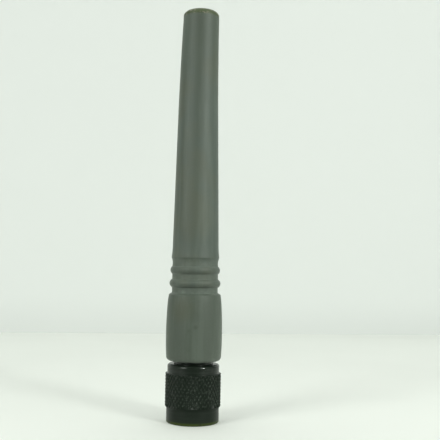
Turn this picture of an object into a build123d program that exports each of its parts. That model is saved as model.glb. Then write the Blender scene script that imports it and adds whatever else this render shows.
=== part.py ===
"""Helical whip antenna on a threaded coaxial plug.

The origin is the centre of the coupling nut's open end, where the plug meets its socket.
+Z runs along the antenna to its tip. Sizes are in millimetres.
"""

import os

from build123d import *

# Overall
antenna_height = 111.6
neck_gap = 0.85  # bare neck between the coupling nut and the rubber

# Coupling nut, outside
nut_length = 15.45
nut_front_dia = 14.13
nut_front_length = 3.85
nut_knurl_dia = 14.93
nut_knurl_front_slope = 0.6
nut_knurl_rear_chamfer = 0.15
nut_rear_dia = 13.95
nut_rear_length = 2.35
nut_rear_round = 0.55
nut_front_break = 0.25

# Coupling nut, inside
neck_bore_length = 3.25  # the stretch that runs on the plug body's neck
thread_minor_dia = 10.2
thread_major_dia = 11.11
thread_relief_length = 2.05  # past the thread's end
thread_clearance = 0.1  # radial, of the mouth and the relief past the major diameter
neck_running_clearance = 0.08

# Retaining ring and its two grooves
ring_thickness = 1.0
ring_setback = 0.85  # plug body's front face to the ring
ring_axial_clearance = 0.06
ring_radial_clearance = 0.12
ring_groove_root_dia = 9.2  # in the plug body
ring_groove_bore_dia = 12.0  # in the nut
ring_gap = 3.0

# Outer contact
contact_reach = 8.4  # from the gasket to the outer contact's front
outer_contact_dia = 8.06
outer_contact_wall = 0.7
outer_contact_tip_break = 0.2
contact_slot_count = 4
contact_slot_width = 0.5
contact_slot_length = 5.6
contact_slot_angle = 45  # degrees, of the first slot from the X axis
contact_collar_dia = 8.7
contact_tail_dia = 7.8
contact_tail_length = 4.2

# Gasket
gasket_dia = 10.0
gasket_thickness = 1.0
gasket_clearance = 0.05

# Centre contact
pin_dia = 1.35
pin_length = 5.1
pin_recess = 0.4  # outer contact's front to the pin's tip
pin_tip_round = 0.45
pin_shank_dia = 2.1
pin_collar_dia = 3.2
pin_collar_length = 0.8
pin_tail_length = 3.4  # into the ferrule's socket

# Insulators
assembly_clearance = 0.03  # radial, between pieces that are pushed together
insulator_recess = 0.2  # outer contact's front to the insulating tube's end
insulator_mouth_dia = 4.9
feed_insulator_dia = 7.6
feed_insulator_length = 7.95

# Plug body
neck_dia = 10.4
sleeve_floor = 1.2  # rubber under the base bushing
spigot_dia = 8.4
body_rear_bore_dia = 6.6

# Base bushing
bushing_dia = 11.6
bushing_setback = 1.1  # bushing's top to the sleeve's shoulder
key_groove_count = 2
key_groove_width = 2.0
key_groove_depth = 0.6
key_groove_pitch = 5.2

# Helix ferrule
ferrule_stem_dia = 3.4
ferrule_stem_gap = 0.3  # spigot's end to the stem's end
ferrule_flange_thickness = 1.1
ferrule_spigot_length = 7.0
ferrule_spigot_chamfer = 0.4

# Helix and its core
core_dia = 4.8
strip_width = 1.6
strip_thickness = 0.5
helix_turns = 10
helix_start = 1.4  # ferrule's flange to the strip's middle
helix_end_gap = 1.6  # strip's middle to the tip cap
helix_clearance = 0.06

# Insulating tube and tip cap
tube_wall = 0.45
cap_length = 4.0
cap_socket_depth = 2.4
cap_edge_break = 1.0
cap_end_clearance = 0.1
tip_wall = 3.3

# Sleeve, outside
barrel_overhang = 0.2  # barrel's widest diameter past the knurl's
barrel_base_taper = 0.45  # barrel's widest diameter less its lower one
shoulder_taper = 0.95  # barrel's widest diameter less its upper one
barrel_widest = 6.7  # above the sleeve's lower face
barrel_length = 17.55
barrel_edge_round = 1.0
shoulder_break = 0.2
groove_dia = 12.38
lower_groove_width = 2.0
lower_groove_slope = 0.6
lower_rib_dia = 13.77
lower_rib_width = 2.2
middle_groove_width = 1.4
upper_rib_dia = 13.4
upper_rib_width = 2.1
upper_groove_width = 2.3
lip_dia = 12.91
flare_length = 4.7
whip_base_dia = 12.38
whip_tip_dia = 9.77
tip_crown = 0.3
tip_edge_round = 1.9

# Heights of the seats, from the nut's open end
body_front = nut_length - neck_bore_length
gasket_front = body_front - gasket_thickness
contact_front = gasket_front - contact_reach
contact_tail_end = body_front + contact_tail_length
ring_front = body_front + ring_setback
sleeve_base = nut_length + neck_gap
bushing_base = sleeve_base + sleeve_floor
shoulder_height = sleeve_base + barrel_length
bushing_top = shoulder_height - bushing_setback
spigot_end = bushing_top - feed_insulator_length
flange_top = bushing_top + ferrule_flange_thickness
core_base = flange_top + ferrule_spigot_length
cavity_top = antenna_height - tip_wall
cap_top = cavity_top - cap_end_clearance
cap_base = cap_top - cap_length
core_top = cap_base + cap_socket_depth
pin_tip = contact_front + pin_recess
pin_shoulder = pin_tip + pin_length

# Barrel of the sleeve, carried on from the knurl
barrel_dia = nut_knurl_dia + barrel_overhang
barrel_base_dia = barrel_dia - barrel_base_taper
shoulder_dia = barrel_dia - shoulder_taper

# Radii that mate
neck_bore_radius = neck_dia / 2 + neck_running_clearance
thread_minor_radius = thread_minor_dia / 2
thread_relief_radius = thread_major_dia / 2 + thread_clearance
contact_bore_radius = outer_contact_dia / 2 - outer_contact_wall
rear_bead_radius = body_rear_bore_dia / 2 - assembly_clearance
core_radius = core_dia / 2
coil_radius = core_radius + helix_clearance + strip_thickness / 2
tube_bore_radius = coil_radius + strip_thickness / 2 + helix_clearance
tube_radius = tube_bore_radius + tube_wall
cavity_radius = tube_radius + assembly_clearance
bushing_radius = bushing_dia / 2
key_groove_radius = bushing_radius - key_groove_depth

# The key grooves lie evenly about the middle of the base bushing
key_groove_middle = (bushing_base + bushing_top) / 2
key_groove_heights = [
    key_groove_middle + (i - (key_groove_count - 1) / 2) * key_groove_pitch
    for i in range(key_groove_count)
]

os.makedirs("parts", exist_ok=True)

# Coupling nut: two plain collars with a wider grip between them, turned and bored
knurl_front = nut_front_length
knurl_rear = nut_length - nut_rear_length
ring_groove_front = ring_front - ring_axial_clearance
ring_groove_rear = ring_front + ring_thickness + ring_axial_clearance
mouth_chamfer = thread_relief_radius - thread_minor_radius
thread_end = body_front - thread_relief_length

with BuildPart() as coupling_nut:
    with BuildSketch(Plane.XZ):
        with BuildLine():
            Polyline(
                (thread_relief_radius, 0),
                (nut_front_dia / 2, 0),
                (nut_front_dia / 2, knurl_front),
                (nut_knurl_dia / 2, knurl_front + nut_knurl_front_slope),
                (nut_knurl_dia / 2, knurl_rear),
                (nut_rear_dia / 2, knurl_rear),
                (nut_rear_dia / 2, nut_length),
                (neck_bore_radius, nut_length),
                (neck_bore_radius, body_front),
                (thread_relief_radius, body_front),
                (thread_relief_radius, thread_end),
                (thread_minor_radius, thread_end),
                (thread_minor_radius, mouth_chamfer),
                close=True,
            )
        make_face()
    revolve(axis=Axis.Z)
    rims = coupling_nut.edges().filter_by(GeomType.CIRCLE)
    chamfer(rims.group_by(SortBy.RADIUS)[-1].sort_by(Axis.Z)[-1], nut_knurl_rear_chamfer)
    rims = coupling_nut.edges().filter_by(GeomType.CIRCLE)
    fillet(rims.group_by(Axis.Z)[-1].sort_by(SortBy.RADIUS)[-1], nut_rear_round)
    rims = coupling_nut.edges().filter_by(GeomType.CIRCLE)
    chamfer(rims.group_by(Axis.Z)[0].sort_by(SortBy.RADIUS)[-1], nut_front_break)
    with BuildSketch(Plane.XY.offset(ring_groove_front)):
        Circle(ring_groove_bore_dia / 2)
        Circle(neck_bore_radius, mode=Mode.SUBTRACT)
    extrude(amount=ring_groove_rear - ring_groove_front, mode=Mode.SUBTRACT)

# Retaining ring: split, so that it springs into both grooves
ring_outer_radius = ring_groove_bore_dia / 2 - ring_radial_clearance
ring_inner_radius = ring_groove_root_dia / 2 + ring_radial_clearance

with BuildPart() as retaining_ring:
    with BuildSketch(Plane.XY.offset(ring_front)):
        Circle(ring_outer_radius)
        Circle(ring_inner_radius, mode=Mode.SUBTRACT)
        with Locations((ring_outer_radius, 0)):
            Rectangle(ring_outer_radius, ring_gap, mode=Mode.SUBTRACT)
    extrude(amount=ring_thickness)

# Gasket that the socket's end is drawn against
with BuildPart() as gasket:
    with BuildSketch(Plane.XY.offset(gasket_front)):
        Circle(gasket_dia / 2)
        Circle(contact_collar_dia / 2 + gasket_clearance, mode=Mode.SUBTRACT)
    extrude(amount=gasket_thickness)

# Outer contact: a turned tube with slots, so that its front springs
with BuildPart() as outer_contact:
    with BuildSketch(Plane.XZ):
        with BuildLine():
            Polyline(
                (contact_bore_radius, contact_front),
                (outer_contact_dia / 2, contact_front),
                (outer_contact_dia / 2, gasket_front),
                (contact_collar_dia / 2, gasket_front),
                (contact_collar_dia / 2, body_front),
                (contact_tail_dia / 2, body_front),
                (contact_tail_dia / 2, contact_tail_end),
                (contact_bore_radius, contact_tail_end),
                close=True,
            )
        make_face()
    revolve(axis=Axis.Z)
    chamfer(outer_contact.edges().group_by(Axis.Z)[0], outer_contact_tip_break)
    with BuildSketch(Plane.XY.offset(contact_front)):
        with PolarLocations(outer_contact_dia / 2, contact_slot_count, contact_slot_angle):
            Rectangle(outer_contact_dia / 2, contact_slot_width)
    extrude(amount=contact_slot_length, mode=Mode.SUBTRACT)

# Plug body: neck, ring groove and the threaded spigot that the bushing screws onto
with BuildPart() as plug_body:
    with BuildSketch(Plane.XZ):
        with BuildLine():
            Polyline(
                (contact_tail_dia / 2 + assembly_clearance, body_front),
                (neck_dia / 2, body_front),
                (neck_dia / 2, ring_groove_front),
                (ring_groove_root_dia / 2, ring_groove_front),
                (ring_groove_root_dia / 2, ring_groove_rear),
                (neck_dia / 2, ring_groove_rear),
                (neck_dia / 2, bushing_base),
                (spigot_dia / 2, bushing_base),
                (spigot_dia / 2, spigot_end),
                (body_rear_bore_dia / 2, spigot_end),
                (body_rear_bore_dia / 2, contact_tail_end),
                (contact_tail_dia / 2 + assembly_clearance, contact_tail_end),
                close=True,
            )
        make_face()
    revolve(axis=Axis.Z)

# Contact insulator: a tube about the pin, closed by a bead that holds the pin's shank
insulator_front = contact_front + insulator_recess
insulator_radius = contact_bore_radius - assembly_clearance
shank_hole_radius = pin_shank_dia / 2 + assembly_clearance

with BuildPart() as contact_insulator:
    with BuildSketch(Plane.XZ):
        with BuildLine():
            Polyline(
                (insulator_mouth_dia / 2, insulator_front),
                (insulator_radius, insulator_front),
                (insulator_radius, contact_tail_end),
                (shank_hole_radius, contact_tail_end),
                (shank_hole_radius, pin_shoulder),
                (insulator_mouth_dia / 2, pin_shoulder),
                close=True,
            )
        make_face()
    revolve(axis=Axis.Z)

# Rear insulator: the bead behind the pin's collar
collar_end = contact_tail_end + pin_collar_length

with BuildPart() as rear_insulator:
    with BuildSketch(Plane.XZ):
        with BuildLine():
            Polyline(
                (pin_collar_dia / 2 + assembly_clearance, contact_tail_end),
                (rear_bead_radius, contact_tail_end),
                (rear_bead_radius, spigot_end),
                (shank_hole_radius, spigot_end),
                (shank_hole_radius, collar_end),
                (pin_collar_dia / 2 + assembly_clearance, collar_end),
                close=True,
            )
        make_face()
    revolve(axis=Axis.Z)

# Centre contact: pin, shank, collar and the tail that feeds the ferrule
tail_end = spigot_end + pin_tail_length

with BuildPart() as centre_contact:
    with BuildSketch(Plane.XZ):
        with BuildLine():
            Polyline(
                (0, pin_tip),
                (pin_dia / 2, pin_tip),
                (pin_dia / 2, pin_shoulder),
                (pin_shank_dia / 2, pin_shoulder),
                (pin_shank_dia / 2, contact_tail_end),
                (pin_collar_dia / 2, contact_tail_end),
                (pin_collar_dia / 2, collar_end),
                (pin_shank_dia / 2, collar_end),
                (pin_shank_dia / 2, tail_end),
                (0, tail_end),
                close=True,
            )
        make_face()
    revolve(axis=Axis.Z)
    fillet(centre_contact.edges().group_by(Axis.Z)[0], pin_tip_round)

# Base bushing: screwed onto the spigot, with grooves that key the rubber
with BuildPart() as base_bushing:
    with BuildSketch(Plane.XZ):
        with BuildLine():
            Polyline(
                (spigot_dia / 2 + assembly_clearance, bushing_base),
                (bushing_radius, bushing_base),
                (bushing_radius, bushing_top),
                (feed_insulator_dia / 2 + assembly_clearance, bushing_top),
                (feed_insulator_dia / 2 + assembly_clearance, spigot_end),
                (spigot_dia / 2 + assembly_clearance, spigot_end),
                close=True,
            )
        make_face()
    revolve(axis=Axis.Z)
    for height in key_groove_heights:
        with BuildSketch(Plane.XY.offset(height - key_groove_width / 2)):
            Circle(bushing_radius)
            Circle(key_groove_radius, mode=Mode.SUBTRACT)
        extrude(amount=key_groove_width, mode=Mode.SUBTRACT)

# Feed insulator: keeps the ferrule clear of the bushing
stem_hole_radius = ferrule_stem_dia / 2 + assembly_clearance

with BuildPart() as feed_insulator:
    with BuildSketch(Plane.XY.offset(spigot_end)):
        Circle(feed_insulator_dia / 2)
        Circle(stem_hole_radius, mode=Mode.SUBTRACT)
    extrude(amount=feed_insulator_length)

# Helix ferrule: socket for the centre contact, flange, and the spigot that the wire is soldered to
stem_end = spigot_end + ferrule_stem_gap

with BuildPart() as helix_ferrule:
    with BuildSketch(Plane.XZ):
        with BuildLine():
            Polyline(
                (shank_hole_radius, stem_end),
                (ferrule_stem_dia / 2, stem_end),
                (ferrule_stem_dia / 2, bushing_top),
                (tube_radius, bushing_top),
                (tube_radius, flange_top),
                (core_radius, flange_top),
                (core_radius, core_base),
                (0, core_base),
                (0, tail_end),
                (shank_hole_radius, tail_end),
                close=True,
            )
        make_face()
    revolve(axis=Axis.Z)
    chamfer(helix_ferrule.edges().group_by(Axis.Z)[-1], ferrule_spigot_chamfer)

# Helix core: the flexible rod inside the wire
with BuildPart() as helix_core:
    with BuildSketch(Plane.XY.offset(core_base)):
        Circle(core_radius)
    extrude(amount=core_top - core_base)

# Radiator helix: flat strip wound on edge to the axis, from the ferrule to just under the tip cap
helix_base = flange_top + helix_start
helix_height = cap_base - helix_end_gap - helix_base
helix_pitch = helix_height / helix_turns

with BuildPart() as radiator_helix:
    with BuildLine():
        coil = Helix(helix_pitch, helix_height, coil_radius, center=(0, 0, helix_base))
    with BuildSketch(Plane(origin=coil @ 0, x_dir=(1, 0, 0), z_dir=coil % 0)):
        Rectangle(strip_thickness, strip_width)
    sweep(path=coil, is_frenet=True)

# Insulating tube: drawn over the wire
with BuildPart() as insulating_tube:
    with BuildSketch(Plane.XY.offset(flange_top)):
        Circle(tube_radius)
        Circle(tube_bore_radius, mode=Mode.SUBTRACT)
    extrude(amount=cap_base - flange_top)

# Tip cap: closes the tube and holds the core's end
with BuildPart() as tip_cap:
    with BuildSketch(Plane.XZ):
        with BuildLine():
            Polyline(
                (core_radius + helix_clearance, cap_base),
                (tube_radius, cap_base),
                (tube_radius, cap_top),
                (0, cap_top),
                (0, core_top),
                (core_radius + helix_clearance, core_top),
                close=True,
            )
        make_face()
    revolve(axis=Axis.Z)
    chamfer(tip_cap.edges().group_by(Axis.Z)[-1], cap_edge_break)

# Sleeve: one rubber moulding, a barrel over the bushing, two rolled ribs and a tapered whip
lower_rib_base = shoulder_height + lower_groove_width
lower_rib_top = lower_rib_base + lower_rib_width
upper_rib_base = lower_rib_top + middle_groove_width
upper_rib_top = upper_rib_base + upper_rib_width
lip_height = upper_rib_top + upper_groove_width
flare_top = lip_height + flare_length
tip_corner = antenna_height - tip_crown
groove_radius = groove_dia / 2
key_radius = key_groove_radius + assembly_clearance
key_width = key_groove_width - 2 * assembly_clearance

with BuildPart() as sleeve:
    with BuildSketch(Plane.XZ) as outline:
        with BuildLine():
            Line((0, sleeve_base), (barrel_base_dia / 2, sleeve_base))
            ThreePointArc(
                (barrel_base_dia / 2, sleeve_base),
                (barrel_dia / 2, sleeve_base + barrel_widest),
                (shoulder_dia / 2, shoulder_height),
            )
            Polyline(
                (shoulder_dia / 2, shoulder_height),
                (shoulder_dia / 2 - shoulder_break, shoulder_height + shoulder_break),
                (groove_radius, shoulder_height + lower_groove_slope),
                (groove_radius, lower_rib_base),
            )
            ThreePointArc(
                (groove_radius, lower_rib_base),
                (lower_rib_dia / 2, (lower_rib_base + lower_rib_top) / 2),
                (groove_radius, lower_rib_top),
            )
            Line((groove_radius, lower_rib_top), (groove_radius, upper_rib_base))
            ThreePointArc(
                (groove_radius, upper_rib_base),
                (upper_rib_dia / 2, (upper_rib_base + upper_rib_top) / 2),
                (groove_radius, upper_rib_top),
            )
            ThreePointArc(
                (groove_radius, upper_rib_top),
                (groove_radius, (upper_rib_top + lip_height) / 2),
                (lip_dia / 2, lip_height),
            )
            side = Line((whip_tip_dia / 2, tip_corner), (whip_base_dia / 2, flare_top))
            TangentArc(side @ 1, (lip_dia / 2, lip_height), tangent=side % 1)
            TangentArc((0, antenna_height), (whip_tip_dia / 2, tip_corner), tangent=(1, 0))
            Line((0, antenna_height), (0, sleeve_base))
        make_face()
        fillet(outline.vertices().group_by(Axis.Y)[0].sort_by(Axis.X)[-1], barrel_edge_round)
        tip_corners = outline.vertices().filter_by(lambda v: abs(v.Y - tip_corner) < 1e-6)
        fillet(tip_corners, tip_edge_round)
    revolve(axis=Axis.Z)
    with BuildSketch(Plane.XZ):
        with BuildLine():
            Polyline(
                (0, sleeve_base),
                (neck_bore_radius, sleeve_base),
                (neck_bore_radius, bushing_base),
                (bushing_radius + assembly_clearance, bushing_base),
                (bushing_radius + assembly_clearance, bushing_top),
                (cavity_radius, bushing_top),
                (cavity_radius, cavity_top),
                (0, cavity_top),
                close=True,
            )
        make_face()
    revolve(axis=Axis.Z, mode=Mode.SUBTRACT)
    for height in key_groove_heights:
        with BuildSketch(Plane.XY.offset(height - key_width / 2)):
            Circle(bushing_radius + 2 * assembly_clearance)
            Circle(key_radius, mode=Mode.SUBTRACT)
        extrude(amount=key_width)

pieces = {
    "coupling_nut": coupling_nut,
    "retaining_ring": retaining_ring,
    "gasket": gasket,
    "outer_contact": outer_contact,
    "plug_body": plug_body,
    "contact_insulator": contact_insulator,
    "rear_insulator": rear_insulator,
    "centre_contact": centre_contact,
    "base_bushing": base_bushing,
    "feed_insulator": feed_insulator,
    "helix_ferrule": helix_ferrule,
    "helix_core": helix_core,
    "radiator_helix": radiator_helix,
    "insulating_tube": insulating_tube,
    "tip_cap": tip_cap,
    "sleeve": sleeve,
}
for name, piece in pieces.items():
    piece.part.label = name
    export_step(piece.part, f"parts/{name}.step")
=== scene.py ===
"""Looks of a helical whip antenna: rubber sleeve, knurled coupling nut, contacts, stage and camera.

Lengths are in metres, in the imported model's own frame: the origin is the centre of the plug's open end
and +Z runs along the antenna to its tip. The camera stands on the -Y side.
"""

import math

import bpy
from mathutils import Euler, Matrix, Vector


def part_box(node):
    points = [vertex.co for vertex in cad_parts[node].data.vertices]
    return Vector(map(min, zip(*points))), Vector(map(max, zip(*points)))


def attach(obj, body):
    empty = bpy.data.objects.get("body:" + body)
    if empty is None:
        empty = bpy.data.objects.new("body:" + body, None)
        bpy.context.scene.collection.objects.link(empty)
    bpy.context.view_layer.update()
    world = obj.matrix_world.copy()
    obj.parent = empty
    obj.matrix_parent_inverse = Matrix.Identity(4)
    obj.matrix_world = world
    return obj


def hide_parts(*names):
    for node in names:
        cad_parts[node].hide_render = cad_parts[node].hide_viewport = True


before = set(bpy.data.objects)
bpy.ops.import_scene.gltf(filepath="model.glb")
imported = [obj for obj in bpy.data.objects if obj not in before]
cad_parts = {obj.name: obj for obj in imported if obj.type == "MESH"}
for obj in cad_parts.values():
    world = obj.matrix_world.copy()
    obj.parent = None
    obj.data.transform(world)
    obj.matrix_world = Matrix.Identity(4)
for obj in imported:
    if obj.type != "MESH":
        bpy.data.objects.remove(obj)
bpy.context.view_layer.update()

bl_info = {
    "name": "Helical antenna looks",
    "version": (1, 0, 0),
    "blender": (4, 5, 0),
    "location": "3D View > Sidebar > Antenna",
    "description": "Dresses the antenna's solids with modelled pieces, finishes, a stage and a camera",
    "category": "Object",
}

MM = 0.001

# Points closer than this are one point
WELD = 0.0004 * MM
# A point this close to a line or a height lies on it
ON_LINE = 0.01 * MM
# Edges with a sharper turn than this stay sharp
SHARP_EDGE = math.radians(32)
# Turn of the tip's rounding where it meets the dome
TIP_TOP_TURN = math.radians(82)
# Half the angle between a thread's flanks
THREAD_HALF_ANGLE = math.radians(30)
# The camera's sensor in mm, and the nearest thing that it sees
SENSOR_WIDTH = 36
NEAREST_SEEN = 10 * MM

# What the solids give
ANTENNA_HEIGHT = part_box("sleeve")[1].z
SLEEVE_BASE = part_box("sleeve")[0].z
NUT_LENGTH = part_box("coupling_nut")[1].z
NUT_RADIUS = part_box("coupling_nut")[1].x
BUSHING_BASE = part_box("base_bushing")[0].z
BUSHING_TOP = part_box("base_bushing")[1].z
BODY_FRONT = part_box("plug_body")[0].z
CONTACT_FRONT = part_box("outer_contact")[0].z
CONTACT_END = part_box("outer_contact")[1].z
GASKET_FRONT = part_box("gasket")[0].z
INSULATOR_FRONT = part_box("contact_insulator")[0].z
INSULATOR_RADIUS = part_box("contact_insulator")[1].x
PIN_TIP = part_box("centre_contact")[0].z
PIN_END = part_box("centre_contact")[1].z


def length(name, description, default):
    """A size that a user can change."""
    return bpy.props.FloatProperty(
        name=name, description=description, default=default, unit="LENGTH", precision=5
    )


def angle(name, description, degrees):
    """A turn that a user can change."""
    return bpy.props.FloatProperty(
        name=name, description=description, default=math.radians(degrees), subtype="ANGLE"
    )


def colour(name, description, default):
    """A linear colour that a user can change."""
    return bpy.props.FloatVectorProperty(
        name=name, description=description, default=default, subtype="COLOR", size=3, min=0, max=1
    )


class SleeveSizes(bpy.types.PropertyGroup):
    """Outline of the rubber sleeve, from the plug's open end."""

    whip_tip: length("Whip tip radius", "Radius of the whip under its rounded tip", 4.885 * MM)
    tip_crown: length("Tip crown", "Height of the tip's dome over its edge", 0.08 * MM)
    tip_rounding: length("Tip rounding", "Rounding of the tip's edge", 1.9 * MM)
    tip_arris: angle("Tip arris", "Turn of the worn arris between the whip's side and the rounding", 22)
    whip_base: length("Whip base radius", "Radius of the whip over the flare", 6.19 * MM)
    lean: length("Lean", "How far the whip's soft tip has set towards +X", 0.34 * MM)
    lean_start: length("Lean start", "Height where the tip starts to lean", 84.0 * MM)
    flare_top: length("Flare top", "Height where the whip's taper starts to flare", 48.55 * MM)
    lip: length("Lip radius", "Radius of the lip over the upper groove", 6.455 * MM)
    lip_height: length("Lip height", "Height of the lip", 43.85 * MM)
    groove: length("Groove radius", "Radius of the grooves beside the ribs", 6.19 * MM)
    upper_rib: length("Upper rib radius", "Radius over the upper rib", 6.7 * MM)
    upper_rib_middle: length("Upper rib height", "Height of the upper rib's middle", 40.5 * MM)
    upper_rib_width: length("Upper rib width", "Width of the upper rib", 2.1 * MM)
    lower_rib: length("Lower rib radius", "Radius over the lower rib", 6.885 * MM)
    lower_rib_middle: length("Lower rib height", "Height of the lower rib's middle", 36.95 * MM)
    lower_rib_width: length("Lower rib width", "Width of the lower rib", 2.2 * MM)
    rib_fillet: length("Rib fillet", "Fillet between a rib and its groove", 0.28 * MM)
    shoulder: length("Shoulder radius", "Radius of the barrel's upper edge", 7.09 * MM)
    shoulder_height: length("Shoulder height", "Height of the barrel's upper edge", 33.85 * MM)
    shoulder_slope: length("Shoulder slope", "Height of the slope from barrel to groove", 0.6 * MM)
    barrel: length("Barrel radius", "Radius of the barrel at its widest", 7.565 * MM)
    barrel_widest: length("Widest height", "Height where the barrel is widest", 23.0 * MM)
    barrel_base: length("Barrel base radius", "Radius of the barrel at its lower edge", 7.34 * MM)
    barrel_rounding: length("Barrel rounding", "Rounding of the barrel's lower edge", 1.1 * MM)
    neck_hole: length("Neck hole radius", "Radius of the hole round the plug's neck", 5.28 * MM)
    bushing: length("Bushing radius", "Radius of the space round the bushing", 5.83 * MM)
    key: length("Key radius", "Radius inside the rings that key the rubber to the bushing", 5.23 * MM)
    key_width: length("Key width", "Width of each key ring", 1.94 * MM)
    key_pitch: length("Key pitch", "Distance between the key rings", 5.2 * MM)
    cavity: length("Cavity radius", "Radius of the space round the tube", 3.5 * MM)
    tip_wall: length("Tip wall", "Thickness of the rubber over the cavity", 3.3 * MM)


class NutSizes(bpy.types.PropertyGroup):
    """Outline, knurl and thread of the coupling nut."""

    front: length("Front collar radius", "Radius of the plain collar at the open end", 7.065 * MM)
    front_length: length("Front collar length", "Height where the knurl starts", 3.85 * MM)
    front_slope: length("Knurl slope", "Height of the slope from front collar to knurl", 0.6 * MM)
    front_break: length("Front chamfer", "Chamfer of the open end's outer edge", 0.25 * MM)
    knurl_depth: length("Knurl depth", "Depth of the knurl's grooves", 0.23 * MM)
    knurl_crest: length("Knurl crest", "Reach of the flat on each knurl point", 0.12 * MM)
    knurl_rear: length("Knurl rear", "Height where the knurl ends", 13.1 * MM)
    knurl_chamfer: length("Knurl chamfer", "Chamfer of the knurl's rear edge", 0.15 * MM)
    rear: length("Rear collar radius", "Radius of the plain collar beside the rubber", 6.975 * MM)
    rear_rounding: length("Rear rounding", "Rounding of the rear collar's edge", 0.58 * MM)
    neck_bore: length("Neck bore radius", "Radius of the bore that runs on the neck", 5.28 * MM)
    ring_groove: length("Ring groove radius", "Radius of the retaining ring's groove", 6.0 * MM)
    ring_front: length("Ring groove front", "Height of the groove's front wall", 12.99 * MM)
    ring_rear: length("Ring groove rear", "Height of the groove's rear wall", 14.11 * MM)
    relief: length("Relief radius", "Radius of the relief behind the thread", 5.655 * MM)
    thread_end: length("Thread end", "Height where the thread ends", 10.15 * MM)
    thread_major: length("Thread major radius", "Radius of the thread's roots", 5.555 * MM)
    thread_minor: length("Thread minor radius", "Radius of the thread's crests", 5.1 * MM)
    thread_pitch: length("Thread pitch", "Pitch of the 28 per inch thread", 25.4 / 28 * MM)
    knurl_points: bpy.props.IntProperty(
        name="Knurl points", description="Points in one turn of the knurl", default=44, min=12
    )
    knurl_rows: bpy.props.IntProperty(
        name="Knurl rows", description="Half rows of points along the knurl", default=10, min=3
    )


class ContactSizes(bpy.types.PropertyGroup):
    """Sizes of the contacts and the insulator inside the nut."""

    outer: length("Outer contact radius", "Radius of the slotted outer contact", 4.03 * MM)
    outer_bore: length("Outer contact bore", "Radius of the outer contact's bore", 3.33 * MM)
    outer_break: length("Tip chamfer", "Chamfer of the outer contact's front edges", 0.2 * MM)
    outer_collar: length("Collar radius", "Radius of the outer contact's collar", 4.35 * MM)
    outer_tail: length("Tail radius", "Radius of the tail in the plug body", 3.9 * MM)
    slot_width: length("Slot width", "Width of the outer contact's slots", 0.5 * MM)
    slot_length: length("Slot length", "Length of the outer contact's slots", 5.6 * MM)
    gasket: length("Gasket radius", "Outer radius of the gasket", 5.0 * MM)
    gasket_bore: length("Gasket bore", "Radius of the gasket's hole", 4.4 * MM)
    mouth: length("Insulator mouth", "Radius of the insulator's mouth", 2.45 * MM)
    mouth_floor: length("Mouth floor", "Height of the mouth's floor", 8.3 * MM)
    shank_hole: length("Shank hole", "Radius of the hole for the pin's shank", 1.08 * MM)
    pin: length("Pin radius", "Radius of the centre pin", 0.675 * MM)
    pin_rounding: length("Pin rounding", "Rounding of the pin's tip", 0.45 * MM)
    shank: length("Shank radius", "Radius of the pin's shank and tail", 1.05 * MM)
    collar: length("Pin collar radius", "Radius of the collar behind the insulator", 1.6 * MM)
    collar_length: length("Pin collar length", "Length of that collar", 0.8 * MM)


class Finishes(bpy.types.PropertyGroup):
    """Colours of the finishes."""

    rubber: colour("Rubber", "Grey-black rubber of the sleeve", (0.078, 0.099, 0.082))
    rubber_warm: colour("Rubber, warm", "Browner cloud in the rubber", (0.09, 0.101, 0.071))
    # Handled barrel; the same colour also darkens the whip towards its tip
    rubber_barrel: colour("Rubber, barrel", "Handled rubber of the barrel", (0.071, 0.089, 0.068))
    rubber_brown: colour("Rubber, brown", "Brown stain on the barrel", (0.075, 0.084, 0.052))
    # Pale bloom and dust, also used for the painted highlight along the slope's foot
    rubber_dust_and_highlight: colour("Rubber, dust", "Pale bloom on the rubber", (0.155, 0.187, 0.155))
    # Dark handling marks, also used for the painted shade down the whip's front
    smudge_and_shade: colour("Smudge", "Dark handling marks", (0.052, 0.063, 0.046))
    # A darker olive tone over the whip's end
    tip_tone: colour("Grime", "Olive grime on the whip's end", (0.052, 0.07, 0.02))
    scuff: colour("Scuff", "Worn specks at the whip's tip", (0.26, 0.23, 0.18))
    nut: colour("Nut", "Black finish of the coupling nut", (0.0048, 0.0098, 0.0052))
    nut_worn: colour("Nut, worn", "Rubbed knurl points", (0.05, 0.06, 0.05))
    nut_rim: colour("Nut, rim", "Dull brass where the open end's edge is rubbed", (0.032, 0.047, 0.006))
    floor: colour("Floor", "Pale table", (0.845, 0.855, 0.825))
    backdrop: colour("Backdrop", "Pale wall behind the table", (0.745, 0.76, 0.75))


class StageSizes(bpy.types.PropertyGroup):
    """Camera, lights, table and backdrop."""

    camera_distance: length("Camera distance", "From the antenna's axis to the camera", 215.0 * MM)
    camera_height: length("Camera height", "From the table to the camera", 43.0 * MM)
    lens: bpy.props.FloatProperty(
        name="Lens", description="Focal length on a 36 mm sensor", default=64.8, unit="CAMERA"
    )
    pitch: angle("Pitch", "Upward tilt of the camera", 2.99)
    roll: angle("Roll", "Turn of the camera about its own view", 1.04)
    swing: angle("Swing", "Turn of the camera to the right", 1.72)
    table_depth: length("Table depth", "From the antenna to the backdrop", 0.258)
    backdrop_turn: angle("Backdrop turn", "Turn of the backdrop about Z", 6)
    stage_width: length("Stage width", "Width of the table", 6.0)
    backdrop_height: length("Backdrop height", "Height of the backdrop", 0.6)


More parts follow.
